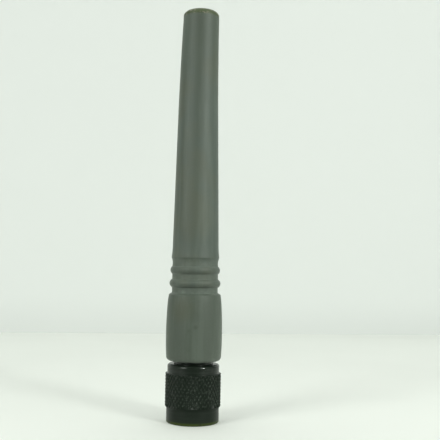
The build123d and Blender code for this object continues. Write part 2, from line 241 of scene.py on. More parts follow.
class Expression:
    """A node socket that takes part in arithmetic: each operator adds its Math node."""

    def __init__(self, paint, socket):
        self.paint = paint
        self.socket = socket

    def apply(self, operation, *values):
        """What a Math node makes of the values."""
        made = self.paint.node("ShaderNodeMath", {"operation": operation}, dict(enumerate(values)))
        return Expression(self.paint, made.outputs[0])

    def __add__(self, other):
        return self.apply("ADD", self, other)

    def __radd__(self, other):
        return self.apply("ADD", other, self)

    def __sub__(self, other):
        return self.apply("SUBTRACT", self, other)

    def __rsub__(self, other):
        return self.apply("SUBTRACT", other, self)

    def __mul__(self, other):
        return self.apply("MULTIPLY", self, other)

    def __rmul__(self, other):
        return self.apply("MULTIPLY", other, self)

    def __pow__(self, other):
        return self.apply("POWER", self, other)

    def limit(self, most):
        """No more than a value."""
        return self.apply("MINIMUM", self, most)

    def step(self, low, high):
        """0 below low, 1 above high, smooth between; turned round where low is above high."""
        made = self.paint.node(
            "ShaderNodeMapRange",
            {"interpolation_type": "SMOOTHSTEP"},
            {"Value": self, "From Min": low, "From Max": high},
        )
        return Expression(self.paint, made.outputs["Result"])


class Paint:
    """A material under construction, with the object's own coordinates at hand."""

    def __init__(self, name, constants=None):
        self.material = bpy.data.materials.new(name)
        self.material.use_nodes = True
        self.tree = self.material.node_tree
        self.shader = self.tree.nodes["Principled BSDF"]
        self.place = self.node("ShaderNodeTexCoord").outputs["Object"]
        for socket, value in (constants or {}).items():
            self.shader.inputs[socket].default_value = value

    def node(self, kind, settings=None, sockets=None):
        """Adds a node: its settings first, then the values or links of its sockets."""
        made = self.tree.nodes.new(kind)
        for key, value in (settings or {}).items():
            setattr(made, key, value)
        for key, value in (sockets or {}).items():
            value = value.socket if isinstance(value, Expression) else value
            if isinstance(value, bpy.types.NodeSocket):
                self.tree.links.new(value, made.inputs[key])
            else:
                made.inputs[key].default_value = value
        return made

    def axes(self):
        """The object coordinates as three expressions."""
        split = self.node("ShaderNodeSeparateXYZ", sockets={"Vector": self.place})
        return [Expression(self, split.outputs[axis]) for axis in "XYZ"]

    def stretched(self, x, y, z):
        """The object coordinates, scaled along each axis."""
        made = self.node("ShaderNodeMapping", sockets={"Vector": self.place, "Scale": (x, y, z)})
        return made.outputs["Vector"]

    def noise(self, scale, detail=2.0, roughness=0.5, vector=None):
        """Noise from 0 to 1, its scale in features a metre."""
        made = self.node(
            "ShaderNodeTexNoise",
            sockets={
                "Vector": vector or self.place,
                "Scale": scale,
                "Detail": detail,
                "Roughness": roughness,
            },
        )
        return Expression(self, made.outputs["Fac"])

    def near(self, point, low, high):
        """1 within low of a point, 0 beyond high."""
        made = self.node(
            "ShaderNodeVectorMath", {"operation": "DISTANCE"}, {0: self.place, 1: point}
        )
        return Expression(self, made.outputs["Value"]).step(high, low)

    def mix(self, first, second, factor):
        """One colour laid over another."""
        made = self.node("ShaderNodeMix", {"data_type": "RGBA"}, {"Factor": factor})
        for key, value in (("A", first), ("B", second)):
            socket = next(s for s in made.inputs if s.name == key and s.type == "RGBA")
            if isinstance(value, bpy.types.NodeSocket):
                self.tree.links.new(value, socket)
            else:
                socket.default_value = (*value, 1)
        return next(s for s in made.outputs if s.type == "RGBA")

    def layers(self, base, *layers):
        """Colours laid over a base one after the other, each with its factor."""
        for tone, factor in layers:
            base = self.mix(base, tone, factor)
        return base

    def feed(self, socket, value):
        """Links what varies to one of the shader's sockets."""
        value = value.socket if isinstance(value, Expression) else value
        self.tree.links.new(value, self.shader.inputs[socket])

    def bump(self, height, depth, strength):
        """Relief of the given depth in metres, laid on with a strength from 0 to 1."""
        made = self.node(
            "ShaderNodeBump", sockets={"Height": height, "Distance": depth, "Strength": strength}
        )
        self.feed("Normal", made.outputs["Normal"])


# Dark marks on the front of the barrel, in mm: place, solid within, gone beyond, and how dark
BARREL_MARKS = (
    ((0.4, -7.5, 25.7), 0.1, 0.9, 1.0),
    ((-1.3, -7.4, 24.7), 0.1, 0.8, 0.6),
    ((-1.5, -7.3, 19.7), 0.1, 0.8, 0.4),
    ((0.2, -7.4, 28.5), 0.4, 2.6, 0.4),
)
# The brown stain on the barrel, in the same way
BARREL_STAIN = ((-3.4, -6.4, 30.2), 1.0, 5.0, 0.6)


def spot(paint, place, within, beyond, strength):
    """A soft round spot, from its sizes in mm."""
    point = tuple(part * MM for part in place)
    return paint.near(point, within * MM, beyond * MM) * strength


def rubber_finish(look, sizes):
    """Moulded matte rubber: faint clouds and bloom, handling marks on the barrel, scuffs at the tip."""
    dusty = {"Sheen Weight": 0.24, "Sheen Roughness": 0.3, "Specular IOR Level": 0.5}
    paint = Paint("sleeve_rubber", dusty)
    x, y, z = paint.axes()
    radius = (x * x + y * y) ** 0.5
    cloud = paint.noise(90, 3).step(0.4, 0.66)
    streak = paint.noise(1, 3, 0.6, paint.stretched(420, 420, 34)).step(0.42, 0.7)
    grain = paint.noise(2600, 2)

    # Handled barrel, and the whip a little darker towards its tip
    on_barrel = z.step(sizes.shoulder_height + 1.5 * MM, sizes.shoulder_height)
    towards_tip = z.step(sizes.flare_top + 30 * MM, ANTENNA_HEIGHT)
    handled = on_barrel + 0.6 * towards_tip

    # Dust in the grooves, and painted highlight: a pale ragged band along the slope's foot, where the
    # slope catches the light from above
    ledges = paint.noise(700, 2).step(0.38, 0.72)
    above_barrel = z.step(sizes.shoulder_height - 0.4 * MM, sizes.shoulder_height)
    below_lip = z.step(sizes.lip_height + 0.3 * MM, sizes.lip_height)
    in_groove = radius.step(sizes.groove + 0.3 * MM, sizes.groove + 0.05 * MM)
    groove_dust = above_barrel * below_lip * in_groove
    foot = sizes.shoulder_height + sizes.shoulder_slope
    # Painted highlight along the slope's foot
    foot_highlight = z.step(foot - 0.3 * MM, foot + 0.1 * MM) * z.step(foot + 0.9 * MM, foot + 0.5 * MM)

    # Dark marks, rubbed patches, and painted shade in a long faint dark band down the whip's front
    marks = sum(spot(paint, *mark) for mark in BARREL_MARKS)
    rubbed = paint.noise(260, 3).step(0.6, 0.74) * z.step(sizes.shoulder_height, SLEEVE_BASE)
    front = x.step(-2.8 * MM, 0) * x.step(2.8 * MM, 0.4 * MM) * y.step(0, -2 * MM)
    # Painted shade: the middle of the whip's front, facing the camera, is darkened
    front_shade = front * z.step(sizes.flare_top + 15 * MM, sizes.lean_start + 15 * MM)
    smudged_and_shaded = (marks * 0.6 + rubbed * 0.12 + front_shade * 0.5).limit(0.6)

    # A darker olive tone over the tip's dome and rounding, and worn specks round the tip
    dome_edge = 0.3 + 0.7 * (radius + 2 * MM * paint.noise(500, 3)).step(3.2 * MM, 5.2 * MM)
    toned_tip = z.step(ANTENNA_HEIGHT - 2.1 * MM, ANTENNA_HEIGHT - 1.4 * MM) * dome_edge
    tip = z.step(ANTENNA_HEIGHT - 2.3 * MM, ANTENNA_HEIGHT - 1.6 * MM)
    scuffs = paint.noise(1500, 2).step(0.55, 0.66) * tip * radius.step(4.0 * MM, 4.5 * MM)

    base = paint.layers(
        look.rubber,
        (look.rubber_warm, cloud * 0.7),
        (look.rubber_barrel, handled),
        (look.rubber_brown, spot(paint, *BARREL_STAIN)),
        (look.rubber_dust_and_highlight, streak * 0.24),
        (look.rubber_dust_and_highlight, grain.step(0.56, 0.78) * 0.14),
        (look.rubber_dust_and_highlight, groove_dust * (0.12 + 0.14 * ledges)),
        # Painted highlight along the slope's foot
        (look.rubber_dust_and_highlight, foot_highlight * (0.1 + 0.6 * ledges)),
        # Handling marks, with painted shade down the whip's front
        (look.smudge_and_shade, smudged_and_shaded),
        (look.tip_tone, toned_tip * (0.7 + 0.3 * paint.noise(900, 2))),
        (look.scuff, scuffs * 0.6),
    )
    paint.feed("Base Color", base)
    paint.feed("Roughness", 0.52 + 0.12 * paint.noise(420, 3) + 0.1 * scuffs)
    paint.bump(grain * 0.6 + paint.noise(700, 2) * 0.4, 0.03 * MM, 0.5)
    return paint.material


def nut_finish(look, sizes):
    """Black plated metal with a fine satin, rubbed on the knurl's points and at the open end's edge."""
    paint = Paint("nut_black", {"Specular IOR Level": 0.1, "Coat Roughness": 0.09})
    x, y, z = paint.axes()
    radius = (x * x + y * y) ** 0.5

    # Zones along the nut
    knurl_front = sizes.front_length + sizes.front_slope
    past_collar = z.step(sizes.front_length - 0.2 * MM, sizes.front_length)
    rear = z.step(sizes.knurl_rear - 0.1 * MM, sizes.knurl_rear + 0.1 * MM)
    knurled = past_collar * (1 - rear)
    raised = knurled * z.step(knurl_front, knurl_front + 0.5 * MM)

    # Wear on the points, over the knurl, in turned rings on the collars, and at the open end
    point_height = radius.step(NUT_RADIUS - 0.07 * MM, NUT_RADIUS - 0.01 * MM)
    points = point_height * z.step(knurl_front, knurl_front + 0.3 * MM)
    handled = paint.noise(420, 3).step(0.42, 0.68)
    flecks = paint.noise(1600, 2).step(0.52, 0.74)
    rings = paint.noise(1, 2, 0.6, paint.stretched(60, 60, 2600)).step(0.5, 0.75)
    edge = radius.step(sizes.front - 0.7 * MM, sizes.front - 0.2 * MM)
    rim = z.step(1.1 * MM, 0.4 * MM) * edge * paint.noise(500, 3).step(0.25, 0.5)

    base = paint.layers(
        look.nut,
        (look.nut_worn, points * (0.25 + 0.75 * handled)),
        (look.nut_worn, flecks * (0.04 + 0.55 * raised)),
        (look.nut_worn, raised * 0.05),
        (look.nut_worn, rings * (1 - knurled) * 0.12),
        (look.nut_rim, rim),
    )
    paint.feed("Base Color", base)
    paint.feed("Roughness", 0.34 + 0.06 * paint.noise(650, 3) + 0.1 * knurled)
    paint.feed("Coat Weight", 0.23 - 0.12 * knurled + 0.24 * rear)
    paint.bump(paint.noise(5200, 2), 0.01 * MM, 0.35)
    return paint.material


def turned_metal(name, tone, dark, roughness):
    """Lathe-turned metal: fine rings across the axis, a little tarnish."""
    paint = Paint(name, {"Metallic": 1.0})
    rings = paint.noise(1, 2, 0.5, paint.stretched(90, 90, 9000))
    tarnish = paint.noise(600, 3).step(0.45, 0.8)
    paint.feed("Base Color", paint.mix(tone, dark, tarnish * 0.6))
    paint.feed("Roughness", roughness + 0.12 * rings + 0.1 * tarnish)
    paint.bump(rings, 0.004 * MM, 0.5)
    return paint.material


def moulded_plastic(name, tone, shade, roughness):
    """Plain moulded or extruded plastic with faint clouds and a fine skin."""
    paint = Paint(name)
    paint.feed("Base Color", paint.mix(tone, shade, paint.noise(380, 3).step(0.35, 0.75) * 0.5))
    paint.feed("Roughness", roughness + 0.12 * paint.noise(900, 2))
    paint.bump(paint.noise(2600, 2), 0.01 * MM, 0.4)
    return paint.material


def arc(start, middle, end, pieces):
    """Points of the circle through three points, from just after the start to the end."""
    (x1, y1), (x2, y2), (x3, y3) = start, middle, end
    twist = 2 * (x1 * (y2 - y3) + x2 * (y3 - y1) + x3 * (y1 - y2))
    s1, s2, s3 = x1 * x1 + y1 * y1, x2 * x2 + y2 * y2, x3 * x3 + y3 * y3
    cx = (s1 * (y2 - y3) + s2 * (y3 - y1) + s3 * (y1 - y2)) / twist
    cy = (s1 * (x3 - x2) + s2 * (x1 - x3) + s3 * (x2 - x1)) / twist
    angles = [math.atan2(y - cy, x - cx) for x, y in (start, middle, end)]
    turn = 1 if twist > 0 else -1
    sweep = ((angles[2] - angles[0]) * turn) % math.tau * turn
    reach = math.hypot(x1 - cx, y1 - cy)
    steps = [angles[0] + sweep * i / pieces for i in range(1, pieces + 1)]
    return [(cx + reach * math.cos(a), cy + reach * math.sin(a)) for a in steps]


def rounded(corners, pieces=6):
    """A line through corners (radius, height, rounding), with an arc where a rounding is given."""
    points = []
    for i, corner in enumerate(corners):
        here = Vector(corner[:2])
        if len(corner) == 2:
            points.append(tuple(here))
            continue
        back = (Vector(corners[i - 1][:2]) - here).normalized()
        ahead = (Vector(corners[(i + 1) % len(corners)][:2]) - here).normalized()
        half = back.angle(ahead) / 2
        reach = corner[2] / math.tan(half)
        centre = here + (back + ahead).normalized() * corner[2] / math.sin(half)
        first, last = here + back * reach, here + ahead * reach
        middle = centre + (here - centre).normalized() * corner[2]
        points.append(tuple(first))
        points.extend(arc(tuple(first), tuple(middle), tuple(last), pieces))
    return points


def rib(groove, radius, middle, width, fillet, pieces=14):
    """Outline of a rolled rib from its upper groove to its lower one, blended into both."""
    rise = radius - groove
    bend = (rise * rise + width * width / 4) / (2 * rise)
    centre = radius - bend
    offset = math.sqrt((bend + fillet) ** 2 - (groove + fillet - centre) ** 2)
    # Where the fillet touches the rib, and a point on the fillet before that
    share = bend / (bend + fillet)
    touch = (centre + (groove + fillet - centre) * share, offset * share)
    turn = math.pi / 5
    ease = (groove + fillet * (1 - math.cos(turn)), offset - fillet * math.sin(turn))
    start, end = (groove, middle + offset), (groove, middle - offset)
    upper = arc(start, (ease[0], middle + ease[1]), (touch[0], middle + touch[1]), 5)
    crown = arc(upper[-1], (radius, middle), (touch[0], middle - touch[1]), pieces)
    lower = arc(crown[-1], (ease[0], middle - ease[1]), end, 5)
    return [start, *upper, *crown, *lower]


def start_piece(name, location):
    """A new piece of a single point, in edit mode, with nothing else selected."""
    bpy.ops.object.select_all(action="DESELECT")
    bpy.ops.mesh.primitive_circle_add(vertices=3, radius=MM, location=location)
    piece = bpy.context.object
    piece.name = piece.data.name = name
    bpy.ops.object.transform_apply(location=True, rotation=True, scale=True)
    bpy.ops.object.mode_set(mode="EDIT")
    bpy.ops.mesh.select_mode(type="VERT")
    bpy.ops.mesh.select_all(action="SELECT")
    bpy.ops.mesh.merge(type="CENTER")
    return piece


def finish_piece(piece, sharp=SHARP_EDGE):
    """Back to object mode, smooth but for edges sharper than an angle."""
    bpy.ops.object.mode_set(mode="OBJECT")
    bpy.ops.object.shade_smooth_by_angle(angle=sharp)
    if not piece.data.polygons:
        raise RuntimeError(f"{piece.name} has no faces")
    return piece


def turned(name, outline, segments, closed):
    """Spins an outline of (radius, height) points about Z into one closed skin, left in edit mode."""
    radius, height = outline[0]
    piece = start_piece(name, (radius, 0, height))
    for (r1, z1), (r2, z2) in zip(outline, outline[1:]):
        bpy.ops.mesh.extrude_region_move(TRANSFORM_OT_translate={"value": (r2 - r1, 0, z2 - z1)})
    if closed:
        select_points(piece, lambda vertex: vertex.index in (0, len(outline) - 1))
        bpy.ops.mesh.edge_face_add()
    bpy.ops.mesh.select_all(action="SELECT")
    bpy.ops.mesh.spin(
        steps=segments, angle=math.tau, center=(0, 0, 0), axis=(0, 0, 1), use_auto_merge=True
    )
    bpy.ops.mesh.select_all(action="SELECT")
    bpy.ops.mesh.remove_doubles(threshold=WELD)
    bpy.ops.mesh.normals_make_consistent(inside=False)
    return piece


def axis_distance(vertex):
    """Distance of a point from the axis."""
    return math.hypot(vertex.co.x, vertex.co.y)


def select_points(piece, wanted):
    """Selects the vertices for which wanted(vertex) holds, in edit mode."""
    bpy.ops.object.mode_set(mode="OBJECT")
    for edge in piece.data.edges:
        edge.select = False
    for face in piece.data.polygons:
        face.select = False
    for vertex in piece.data.vertices:
        vertex.select = wanted(vertex)
    bpy.ops.object.mode_set(mode="EDIT")
    bpy.ops.mesh.select_mode(type="VERT")


def dress(piece, material, body, node):
    """Gives a new piece its finish and its body, and lets it stand for its solid."""
    piece.data.materials.clear()
    piece.data.materials.append(material)
    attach(piece, body)
    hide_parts(node)


class AntennaOperator:
    """What the antenna's operators share."""

    bl_options = {"REGISTER", "UNDO"}


class ANTENNA_OT_sleeve(AntennaOperator, bpy.types.Operator):
    """Models the rubber sleeve: tapered whip, two rolled ribs, barrel, and the space inside."""

    bl_idname = "antenna.sleeve"
    bl_label = "Rubber Sleeve"

    def execute(self, context):
        s = context.scene.antenna_sleeve
        whip, bands = self.whip(s)
        outline = rounded(whip + self.ribs(s) + self.barrel(s) + self.hollow(s))
        piece = turned("rubber_sleeve", outline, segments=128, closed=False)
        self.lean(piece, s, bands)
        finish_piece(piece, sharp=math.radians(40))
        rubber = rubber_finish(context.scene.antenna_finishes, s)
        dress(piece, rubber, "antenna", "sleeve")
        return {"FINISHED"}

    def whip(self, s):
        """Corners from the tip's middle down to the flare, and the heights of the bands that lean."""
        top = ANTENNA_HEIGHT - s.tip_crown
        steps = 8
        turns = [TIP_TOP_TURN + (s.tip_arris - TIP_TOP_TURN) * i / steps for i in range(steps + 1)]
        bend = [
            (
                s.whip_tip + s.tip_rounding * (math.cos(turn) - math.cos(s.tip_arris)),
                top + s.tip_rounding * (math.sin(turn) - math.sin(turns[0])),
            )
            for turn in turns
        ]
        crown = [(bend[0][0] * k, ANTENNA_HEIGHT - s.tip_crown * k * k) for k in (0.3, 0.6, 0.8)]
        edge = bend[-1][1]
        slope = (s.whip_base - s.whip_tip) / (edge - s.flare_top)
        highest = edge - 1.2 * MM
        steps = 6
        bands = [highest + (s.lean_start - highest) * i / steps for i in range(steps + 1)]
        sides = [(s.whip_tip + (edge - height) * slope, height) for height in bands]
        corners = [(0, ANTENNA_HEIGHT), *crown, *bend[:-1], (s.whip_tip, edge, 0.35 * MM)]
        corners += [*sides, (s.whip_base, s.flare_top)]
        return corners, sorted(bands)

    def ribs(self, s):
        """Corners of the flare, the lip, the upper groove and the two rolled ribs."""
        flare_radius = s.whip_base + (s.lip - s.whip_base) / 3.3
        flare_middle = s.flare_top - 0.55 * (s.flare_top - s.lip_height)
        lip = (s.lip, s.lip_height)
        flare = arc((s.whip_base, s.flare_top), (flare_radius, flare_middle), lip, 8)
        rib_foot = s.upper_rib_middle + s.upper_rib_width / 2 + s.rib_fillet
        groove_middle = (s.lip_height + rib_foot) / 2
        groove = arc(lip, (s.groove - 0.01 * MM, groove_middle), (s.groove, rib_foot), 8)
        return [
            *flare[:-1],
            (*lip, 0.3 * MM),
            *groove[:-1],
            *rib(s.groove, s.upper_rib, s.upper_rib_middle, s.upper_rib_width, s.rib_fillet),
            *rib(s.groove, s.lower_rib, s.lower_rib_middle, s.lower_rib_width, s.rib_fillet),
        ]

    def barrel(self, s):
        """Corners of the slope under the ribs, the barrel and the hole round the neck."""
        side = arc(
            (s.shoulder, s.shoulder_height),
            (s.barrel, s.barrel_widest),
            (s.barrel_base, SLEEVE_BASE),
            12,
        )
        return [
            (s.groove, s.shoulder_height + s.shoulder_slope, 0.35 * MM),
            (s.shoulder - 0.1 * MM, s.shoulder_height + 0.1 * MM, 0.12 * MM),
            *side[:-1],
            (s.barrel_base, SLEEVE_BASE, s.barrel_rounding),
            (s.neck_hole, SLEEVE_BASE, 0.15 * MM),
        ]

    def hollow(self, s):
        """Corners of the space inside: round the neck, the keyed bushing and the tube."""
        keys = []
        for side in (-1, 1):
            middle = (BUSHING_BASE + BUSHING_TOP + side * s.key_pitch) / 2
            low, high = middle - s.key_width / 2, middle + s.key_width / 2
            keys += [(s.bushing, low), (s.key, low), (s.key, high), (s.bushing, high)]
        return [
            (s.neck_hole, BUSHING_BASE),
            (s.bushing, BUSHING_BASE),
            *keys,
            (s.bushing, BUSHING_TOP),
            (s.cavity, BUSHING_TOP),
            (s.cavity, ANTENNA_HEIGHT - s.tip_wall),
            (0, ANTENNA_HEIGHT - s.tip_wall),
        ]

    def lean(self, piece, s, bands):
        """Sets the soft tip over to one side, more with each band; the cavity inside stays straight."""
        shares = range(1, len(bands))

        def outer_skin(vertex):
            over_cavity = vertex.co.z > ANTENNA_HEIGHT - s.tip_wall + 0.1 * MM
            return over_cavity or axis_distance(vertex) > s.cavity + 0.2 * MM

        for band, share in zip(bands, shares):
            select_points(piece, lambda vertex: vertex.co.z > band + 0.1 * MM and outer_skin(vertex))
            bpy.ops.transform.translate(value=(s.lean * share / sum(shares), 0, 0))


class ANTENNA_OT_coupling_nut(AntennaOperator, bpy.types.Operator):
    """Models the coupling nut: two plain collars, a diamond knurl and the thread inside."""

    bl_idname = "antenna.coupling_nut"
    bl_label = "Coupling Nut"

    def execute(self, context):
        s = context.scene.antenna_nut
        columns = 2 * s.knurl_points
        knurl_front = s.front_length + s.front_slope
        knurl_end = s.knurl_rear - s.knurl_chamfer
        row_height = (knurl_end - knurl_front) / s.knurl_rows
        undercut = NUT_RADIUS - s.knurl_depth - 0.1 * MM
        # The bevel cuts each crest down by about a third of its reach
        crest = NUT_RADIUS + s.knurl_crest * 0.35
        band = [(crest, knurl_front + i * row_height) for i in range(s.knurl_rows + 1)]
        corners = [
            (s.relief, 0),
            (s.front - s.front_break, 0, 0.1 * MM),
            (s.front, s.front_break, 0.1 * MM),
            (s.front, s.front_length - 0.03 * MM),
            (s.front, s.front_length),
            *band,
            (undercut, s.knurl_rear),
            (s.rear, s.knurl_rear, 0.08 * MM),
            (s.rear, NUT_LENGTH, s.rear_rounding),
            (s.neck_bore, NUT_LENGTH, 0.12 * MM),
            (s.neck_bore, s.ring_rear),
            (s.ring_groove, s.ring_rear),
            (s.ring_groove, s.ring_front),
            (s.neck_bore, s.ring_front),
            (s.neck_bore, BODY_FRONT),
            (s.relief, BODY_FRONT),
            (s.relief, s.thread_end),
            (s.thread_major, s.thread_end),
            (s.thread_major, s.relief - s.thread_major),
        ]
        piece = turned("knurled_nut", rounded(corners), segments=columns, closed=True)

        def below(vertex, height):
            return knurl_front - ON_LINE < vertex.co.z < height + ON_LINE

        def on_crest(vertex):
            return below(vertex, knurl_end) and abs(axis_distance(vertex) - crest) < ON_LINE

        def in_band(vertex):
            return below(vertex, s.knurl_rear) and axis_distance(vertex) > undercut - ON_LINE

        def valley(vertex):
            row = (vertex.co.z - knurl_front) / row_height
            column = math.atan2(vertex.co.y, vertex.co.x) / math.tau * columns
            return on_crest(vertex) and (round(row) + round(column)) % 2 == 1

        # Every second point is sunk, in rows that alternate, and each quad is folded into a diamond
        select_points(piece, valley)
        sink = 1 - s.knurl_depth / NUT_RADIUS
        bpy.ops.transform.resize(value=(sink, sink, 1), center_override=(0, 0, 0))
        select_points(piece, in_band)
        bpy.ops.mesh.quads_convert_to_tris(quad_method="SHORTEST_DIAGONAL", ngon_method="BEAUTY")
        select_points(piece, on_crest)
        bpy.ops.mesh.bevel(offset=s.knurl_crest, affect="VERTICES", segments=1)
        finish_piece(piece, sharp=math.radians(30))
        thread = self.thread(s)
        bpy.ops.object.select_all(action="DESELECT")
        thread.select_set(True)
        piece.select_set(True)
        context.view_layer.objects.active = piece
        bpy.ops.object.join()
        black = nut_finish(context.scene.antenna_finishes, s)
        dress(piece, black, "nut", "coupling_nut")
        return {"FINISHED"}

    def thread(self, s):
        """The inside thread: one closed ridge, rooted in the wall, wound by a Screw modifier."""
        flank = (s.thread_major - s.thread_minor) * math.tan(THREAD_HALF_ANGLE)
        crest = s.thread_pitch / 8
        root = s.thread_major + 0.05 * MM
        # Clear of the chamfer at the open end
        low = s.relief - s.thread_major + 0.35 * MM
        turns = int((s.thread_end - low) / s.thread_pitch)
        profile = [
            (root, 0),
            (s.thread_minor, flank),
            (s.thread_minor, flank + crest),
            (root, 2 * flank + crest),
        ]
        ridge = start_piece("thread_ridge", (root, 0, low))
        for (r1, z1), (r2, z2) in zip(profile, profile[1:]):
            bpy.ops.mesh.extrude_region_move(TRANSFORM_OT_translate={"value": (r2 - r1, 0, z2 - z1)})
        bpy.ops.mesh.select_all(action="SELECT")
        bpy.ops.mesh.edge_face_add()
        bpy.ops.mesh.select_all(action="SELECT")
        bpy.ops.mesh.delete(type="ONLY_FACE")
        bpy.ops.object.mode_set(mode="OBJECT")
        screw = ridge.modifiers.new("wind", "SCREW")
        screw.axis = "Z"
        screw.angle = math.tau
        screw.screw_offset = s.thread_pitch
        screw.iterations = turns
        screw.steps = screw.render_steps = 72
        screw.use_merge_vertices = False
        bpy.ops.object.modifier_apply(modifier="wind")
        bpy.ops.object.mode_set(mode="EDIT")
        bpy.ops.mesh.select_all(action="DESELECT")
        bpy.ops.mesh.select_non_manifold()
        bpy.ops.mesh.edge_face_add()
        bpy.ops.mesh.select_all(action="SELECT")
        bpy.ops.mesh.normals_make_consistent(inside=False)
        return finish_piece(ridge, sharp=math.radians(30))


class ANTENNA_OT_outer_contact(AntennaOperator, bpy.types.Operator):
    """Models the slotted outer contact."""

    bl_idname = "antenna.outer_contact"
    bl_label = "Outer Contact"

    def execute(self, context):
        s = context.scene.antenna_contacts
        corners = [
            (s.outer_bore, CONTACT_FRONT + s.outer_break),
            (s.outer_bore + s.outer_break, CONTACT_FRONT, 0.05 * MM),
            (s.outer - s.outer_break, CONTACT_FRONT, 0.05 * MM),
            (s.outer, CONTACT_FRONT + s.outer_break, 0.1 * MM),
            (s.outer, GASKET_FRONT),
            (s.outer_collar, GASKET_FRONT, 0.06 * MM),
            (s.outer_collar, BODY_FRONT),
            (s.outer_tail, BODY_FRONT),
            (s.outer_tail, CONTACT_END),
            (s.outer_bore, CONTACT_END),
        ]
        outline = rounded(corners, pieces=3)
        piece = finish_piece(turned("slotted_contact", outline, segments=120, closed=True))
        for quarter in (1, 3):
            self.cut_slots(piece, s, quarter * math.pi / 4)
        bpy.ops.object.shade_smooth_by_angle(angle=SHARP_EDGE)
        nickel = turned_metal("nickel_plate", (0.62, 0.6, 0.56), (0.42, 0.4, 0.36), 0.26)
        dress(piece, nickel, "antenna", "outer_contact")
        return {"FINISHED"}

    def cut_slots(self, piece, s, angle):
        """Cuts two opposite slots with one blade laid across the tube."""
        bpy.ops.object.select_all(action="DESELECT")
        ahead = MM
        middle = CONTACT_FRONT + (s.slot_length - ahead) / 2
        bpy.ops.mesh.primitive_cube_add(size=1, location=(0, 0, middle), rotation=(0, 0, angle))
        blade = bpy.context.object
        blade.scale = (3 * s.outer, s.slot_width, s.slot_length + ahead)
        bpy.ops.object.transform_apply(location=True, rotation=True, scale=True)
        bpy.ops.object.select_all(action="DESELECT")
        piece.select_set(True)
        bpy.context.view_layer.objects.active = piece
        cut = piece.modifiers.new("slots", "BOOLEAN")
        cut.operation = "DIFFERENCE"
        cut.solver = "EXACT"
        cut.object = blade
        bpy.ops.object.modifier_apply(modifier="slots")
        bpy.data.objects.remove(blade)


class ANTENNA_OT_insulator(AntennaOperator, bpy.types.Operator):
    """Models the white insulator inside the outer contact."""

    bl_idname = "antenna.insulator"
    bl_label = "Contact Insulator"

    def execute(self, context):
        s = context.scene.antenna_contacts
        corners = [
            (INSULATOR_RADIUS, INSULATOR_FRONT, 0.08 * MM),
            (INSULATOR_RADIUS, CONTACT_END),
            (s.shank_hole, CONTACT_END),
            (s.shank_hole, s.mouth_floor),
            (s.mouth, s.mouth_floor, 0.1 * MM),
            (s.mouth, INSULATOR_FRONT),
        ]
        outline = rounded(corners, pieces=3)
        piece = finish_piece(turned("mouth_insulator", outline, segments=96, closed=True))
        white = moulded_plastic("white_insulator", (0.8, 0.8, 0.77), (0.7, 0.69, 0.64), 0.42)
        dress(piece, white, "antenna", "contact_insulator")
        return {"FINISHED"}


class ANTENNA_OT_centre_pin(AntennaOperator, bpy.types.Operator):
    """Models the centre contact: rounded pin, shank, collar and tail."""

    bl_idname = "antenna.centre_pin"
    bl_label = "Centre Pin"

    def execute(self, context):
        s = context.scene.antenna_contacts
        corners = [
            (0, PIN_TIP),
            (s.pin, PIN_TIP, s.pin_rounding),
            (s.pin, s.mouth_floor),
            (s.shank, s.mouth_floor),
            (s.shank, CONTACT_END),
            (s.collar, CONTACT_END),
            (s.collar, CONTACT_END + s.collar_length),
            (s.shank, CONTACT_END + s.collar_length),
            (s.shank, PIN_END),
            (0, PIN_END),
        ]
        outline = rounded(corners, pieces=8)
        piece = finish_piece(turned("centre_pin", outline, segments=64, closed=False))
        gold = turned_metal("gold_plate", (0.85, 0.6, 0.25), (0.7, 0.45, 0.17), 0.2)
        dress(piece, gold, "antenna", "centre_contact")
        return {"FINISHED"}


class ANTENNA_OT_gasket(AntennaOperator, bpy.types.Operator):
    """Models the soft ring that the socket's end is drawn against."""

    bl_idname = "antenna.gasket"
    bl_label = "Gasket"

    def execute(self, context):
        s = context.scene.antenna_contacts
        corners = [
            (s.gasket_bore, BODY_FRONT),
            (s.gasket_bore, GASKET_FRONT, 0.12 * MM),
            (s.gasket, GASKET_FRONT, 0.2 * MM),
            (s.gasket, BODY_FRONT),
        ]
        outline = rounded(corners, pieces=4)
        piece = finish_piece(turned("soft_gasket", outline, segments=96, closed=True))
        red = moulded_plastic("gasket_rubber", (0.33, 0.05, 0.028), (0.24, 0.035, 0.02), 0.55)
        dress(piece, red, "antenna", "gasket")
        return {"FINISHED"}


class ANTENNA_OT_inner_finishes(AntennaOperator, bpy.types.Operator):
    """Gives the solids that stay as they are their finishes."""

    bl_idname = "antenna.inner_finishes"
    bl_label = "Inner Finishes"

    def execute(self, context):
        brass = turned_metal("turned_brass", (0.74, 0.54, 0.25), (0.5, 0.33, 0.14), 0.28)
        white = moulded_plastic("bead_white", (0.8, 0.8, 0.77), (0.7, 0.69, 0.64), 0.42)
        black = moulded_plastic("tube_black", (0.03, 0.03, 0.031), (0.045, 0.045, 0.046), 0.45)
        finishes = {
            "plug_body": bpy.data.materials["nut_black"],
            "retaining_ring": turned_metal("spring_steel", (0.56, 0.57, 0.58), (0.4, 0.4, 0.4), 0.3),
            "rear_insulator": white,
            "feed_insulator": white,
            "base_bushing": brass,
            "helix_ferrule": brass,
            "helix_core": moulded_plastic("core_natural", (0.7, 0.7, 0.64), (0.6, 0.58, 0.5), 0.5),
            "radiator_helix": turned_metal("bright_copper", (0.9, 0.47, 0.3), (0.6, 0.28, 0.15), 0.24),
            "insulating_tube": black,
            "tip_cap": black,
        }
        for node, material in finishes.items():
            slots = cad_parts[node].data.materials
            slots.clear()
            slots.append(material)
        return {"FINISHED"}


# Soft boxes: name, place, width and height, power in watts, and whether they cast shadows
LAMPS = (
    ("top", (0.0, 0.0, 0.75), (0.9, 0.9), 2.35, True),
    ("key_right", (0.38, -0.4, 0.27), (0.14, 0.28), 1.35, True),
    ("glint", (0.46, -0.37, 0.33), (0.026, 0.026), 1.1, False),
    ("fill_left", (-0.41, -0.39, 0.26), (0.24, 0.26), 1.7, True),
)
LAMP_TINT = (0.95, 1.0, 0.94)
